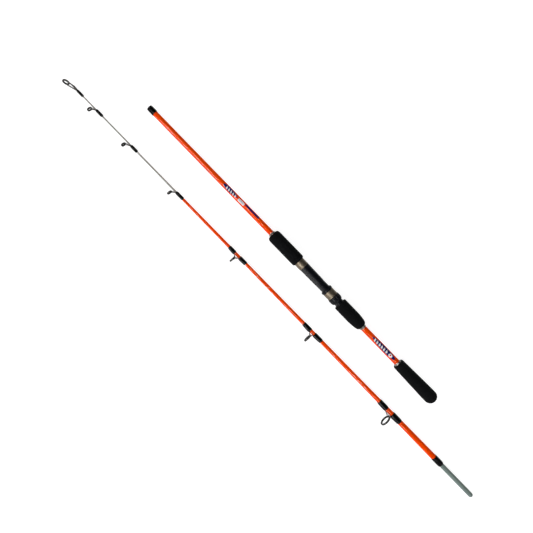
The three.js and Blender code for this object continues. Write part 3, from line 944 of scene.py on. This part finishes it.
def two_foot_frame(guide):
    """Frame with a forked leg in front, two flank legs behind, and a foot each way."""
    front, _ = tip.span(guide.name + "_wrap_front")
    rear = tip.span(guide.name + "_wrap_rear")[1]
    over = GAP + 0.35
    front_base = rod_radius(front) + over
    rear_base = rod_radius(rear) + over
    x = guide.middle[0]
    low = guide.on_band(0)[1]
    parts = [
        band(guide),
        strip([(front + reach, front_base, 0) for reach in FOOT_PLACES], 2.0, 0.7),
        strip([(rear - reach, rear_base, 0) for reach in FOOT_PLACES], 2.0, 0.7),
    ]
    for sign in (1, -1):
        parts.append(
            strip(
                [
                    (front + 0.5, front_base, 0.35 * sign),
                    (front - 1.4, front_base + 0.2, 0.45 * sign),
                    ((front + x) / 2, (front_base + low) / 2 + 0.3, 1.4 * sign),
                    guide.on_band(20 * sign),
                ],
                *TWO_FOOT_LEG,
            )
        )
        target = guide.on_band(72 * sign, ahead=-0.2)
        parts.append(
            strip(
                [
                    (rear - 0.5, rear_base, 0.35 * sign),
                    (rear + 1.4, rear_base + 0.25, 0.55 * sign),
                    (
                        rear + 0.58 * (x - rear),
                        rear_base + 0.42 * (target[1] - rear_base),
                        0.62 * target[2],
                    ),
                    target,
                ],
                *TWO_FOOT_LEG,
            )
        )
    return parts


def one_foot_frame(guide):
    """Frame of a small guide: one foot and two legs that rise to the ring's flanks."""
    front = tip.span(guide.name + "_wrap")[1]
    base = rod_radius(front) + GAP + 0.25
    parts = [
        band(guide),
        strip([(front - 12, base, 0), (front - 5, base, 0), (front + 1.2, base, 0)], 1.4, 0.5),
    ]
    for sign in (1, -1):
        target = guide.on_band(46 * sign)
        parts.append(
            strip(
                [
                    (front - 0.4, base, 0.3 * sign),
                    (front + 1.4, base + 0.25, 0.4 * sign),
                    (
                        front + 0.6 * (target[0] - front),
                        base + 0.45 * (target[1] - base),
                        0.55 * target[2],
                    ),
                    target,
                ],
                *ONE_FOOT_LEG,
            )
        )
    return parts


def tip_top():
    """Tip-top: a tube over the rod's end, a keel to the ring and an arm to each flank."""
    guide = Guide("tip_top")
    rear = tip.span("tip_top_frame")[0]
    tube_front = tip.span("tip_top_wrap")[1] + 1.0
    rod = rod_radius(rear)
    outer = rod + GAP + 0.55
    tube = turned(
        rounded(
            [
                (rear, rod + 0.08, 0.1),
                (rear, outer, 0.2),
                (tube_front + 0.8, outer, 0.5),
                (tube_front + 3, 0.75, 0.3),
                (tube_front + 3, 0, 0),
                (tube_front - 0.5, 0, 0),
                (tube_front - 0.5, rod + 0.08, 0.1),
            ]
        ),
        48,
    )
    parts = [band(guide), tube]
    for degrees in (0, 104, -104):
        target = guide.on_band(degrees)
        sign = float(np.sign(degrees))
        start = np.array((tube_front + 1.2, 0.6 if degrees else -0.9, 1.0 * sign))
        middle = (start + target) / 2
        middle[1] -= 0.8 if degrees else 1.6
        middle[2] += 1.5 * sign
        parts.append(strip([start, middle, target], *TIP_TOP_ARM))
    remake("tip_top_frame", tip, fused("tip_top_frame", parts), sharp=60)
    ring_liner(guide, TIP_RING_WALL)
    plain_wrap("tip_top_wrap", tip, pitch=0.3)


def foot_wrap(node, ring_x, pitch, back):
    """Thread wrap over a guide's foot: it swells over the foot and thins to both ends.
    back is the height of the thread away from the foot."""
    rear, front = tip.span(node)
    rod = max(rod_radius(rear), rod_radius(front))
    crown = tip.local(node)[:, 1].max() - rod
    bore = min(rod_radius(rear), rod_radius(front)) - 0.1
    edge = rod + WRAP_EDGE
    inner_first = abs(ring_x - rear) < abs(ring_x - front)

    def wound(x, r, angle):
        share = (x - rear) / (front - rear)
        if not inner_first:
            share = 1 - share
        inside = np.minimum(x - rear, front - x)
        ends = smoothstep((inside + 0.3) / 3.2)
        swell = 1 - 0.62 * smoothstep((share - 0.25) / 0.75)
        foot = np.exp(-((angle / 0.62) ** 2)) * (crown - back) * swell
        ridge = 0.009 * np.cos(math.tau * x / pitch + angle) * smoothstep(inside / 1.2)
        foot = foot * smoothstep((inside + 0.7) / 2.4)
        height = edge + (back - WRAP_EDGE) * ends + foot + ridge
        return np.where(r > rod + 0.05, height, r)

    points = [(rear, edge, 0.1), (front, edge, 0.1), (front, bore, 0), (rear, bore, 0)]
    lathe(node, tip, points, sides=88, shape=wound, step=pitch / 5)


def guides():
    for i in range(1, 7):
        guide = Guide(f"guide_{i}")
        two_feet = i <= 3
        parts = two_foot_frame(guide) if two_feet else one_foot_frame(guide)
        node = guide.name + "_frame"
        remake(node, tip, fused(node, parts), sharp=60)
        ring_liner(guide)
        for end in ("_front", "_rear") if two_feet else ("",):
            wrap = TWO_FOOT_WRAP if two_feet else ONE_FOOT_WRAP
            foot_wrap(guide.name + "_wrap" + end, guide.middle[0], *wrap)


def spigot_body():
    """Ground spigot with a domed end and a slight taper."""
    rear, front = tip.span("spigot")
    rows = tip.rings("spigot")
    radius = max(row[1] for row in rows)
    points = [
        *quarter(rear + 4.5, 0, 4.5, 4.5, 180, 90, steps=12),
        (rear + 85, radius, 0),
        (front, radius, 0.2),
        (front, 0, 0),
    ]
    lathe("spigot", tip, points, step=3)


# --------------------------------------------------------------------- build pieces
blank("butt_blank", butt)
plain_wrap("ferrule_mouth_wrap", butt)
foam_tube("foregrip", (5, 2.2), (8, 3.8))
foam_tube("rear_grip", (28, 4.5), (1.5, 0.8))
butt_foam()
for check in ("foregrip_check", "rear_grip_check", "butt_grip_check"):
    winding_check(check)
reel_seat()
hood_shell("fixed_hood_shell")
hood_shell("moving_hood_shell")
sliding_hood()
hand_nut()
tape_arbor("seat_arbor_rear")
tape_arbor("seat_arbor_front")
solid_of("butt_plug", butt, 0.4)
decals()

blank("tip_blank", tip)
solid_of("solid_tip", tip, 0.2)
spigot_body()
solid_of("spigot_root", tip, 0.3)
plain_wrap("ferrule_wrap", tip)
guides()
tip_top()


# --------------------------------------------------------- floor, lights and camera
def stage():
    """Plain pale floor under the rod."""
    floor = bpy.data.meshes.new("floor")
    corners = [(x * FLOOR_REACH, y * FLOOR_REACH, 0) for x, y in ((-1, -1), (1, -1), (1, 1), (-1, 1))]
    floor.from_pydata(corners, [], [(0, 1, 2, 3)])
    paint = Paint("floor_paint", (0.25, 0.25, 0.25), 0.5, Specular_IOR_Level=0.2,
                  Emission_Color=(1, 1, 1, 1), Emission_Strength=TABLE_GLOW)
    floor.materials.append(paint.material)
    ground = bpy.data.objects.new("floor", floor)
    ground.location.z = -FLOOR_DROP
    bpy.context.scene.collection.objects.link(ground)


def softbox(name, place, target, width, height, power, glints=True, body=True):
    """Area light. It may leave out its reflections (glints) or its soft light (body)."""
    light = bpy.data.lights.new(name, "AREA")
    light.shape = "RECTANGLE"
    light.size = width
    light.size_y = height
    light.energy = power
    lamp = bpy.data.objects.new(name, light)
    lamp.location = place
    aim = Vector(target) - Vector(place)
    lamp.rotation_euler = aim.to_track_quat("-Z", "Y").to_euler()
    lamp.visible_camera = False
    lamp.visible_diffuse = body
    lamp.visible_glossy = glints
    bpy.context.scene.collection.objects.link(lamp)


def surroundings():
    """Pale walls, brightest on the key light's side, under a dim ceiling."""
    world = bpy.data.worlds.new("studio")
    world.use_nodes = True
    tree = world.node_tree
    direction = tree.nodes.new("ShaderNodeTexCoord")
    parts = tree.nodes.new("ShaderNodeSeparateXYZ")
    tree.links.new(direction.outputs["Generated"], parts.inputs[0])
    level = tree.nodes.new("ShaderNodeMapRange")
    level.interpolation_type = "SMOOTHSTEP"
    level.inputs["From Min"].default_value = 0.25
    level.inputs["From Max"].default_value = 0.75
    level.inputs["To Min"].default_value = WALL_LIGHT
    level.inputs["To Max"].default_value = CEILING_LIGHT
    tree.links.new(parts.outputs["Z"], level.inputs["Value"])
    side = tree.nodes.new("ShaderNodeMapRange")
    side.inputs["From Min"].default_value = -1
    side.inputs["To Min"].default_value = FAR_WALL_SHARE
    tree.links.new(parts.outputs["Y"], side.inputs["Value"])
    both = tree.nodes.new("ShaderNodeMath")
    both.operation = "MULTIPLY"
    tree.links.new(level.outputs[0], both.inputs[0])
    tree.links.new(side.outputs[0], both.inputs[1])
    tree.links.new(both.outputs[0], tree.nodes["Background"].inputs["Strength"])
    bpy.context.scene.world = world


def lights():
    softbox("key", (0, 1.3, 1.15), (0, 0, 0), 2.6, 0.6, 28, glints=False)
    softbox("streak", (0, 1.2, 1.25), (0, 0, 0), 2.4, 0.13, 45, body=False)
    softbox("fill", (0, -1.5, 1.0), (0, 0, 0), 2.6, 0.8, 6, glints=False)
    softbox("head", (1.9, 0, 1.1), (0.3, 0, 0), 1.2, 1.0, 9)
    softbox("foot", (-1.9, 0, 1.1), (-0.3, 0, 0), 1.2, 1.0, 9)
    surroundings()
    bpy.context.scene.view_settings.view_transform = "Standard"


def camera():
    """Nearly straight down from 0.82 m, the rod lying corner to corner in the view."""
    data = bpy.data.cameras.new("camera")
    data.sensor_width = 36
    data.lens = 28.8
    eye = Vector((0.034, 0.0911, 0.8134))
    target = Vector((0.0321, 0.0044, 0))
    picture_up = -0.7741  # radians from +X
    up = Vector((math.cos(picture_up), math.sin(picture_up), 0))
    back = (eye - target).normalized()
    right = up.cross(back).normalized()
    turn = Matrix((right, back.cross(right), back)).transposed().to_4x4()
    seen = bpy.data.objects.new("camera", data)
    seen.matrix_world = Matrix.Translation(eye) @ turn
    bpy.context.scene.collection.objects.link(seen)
    bpy.context.scene.camera = seen


stage()
lights()
camera()
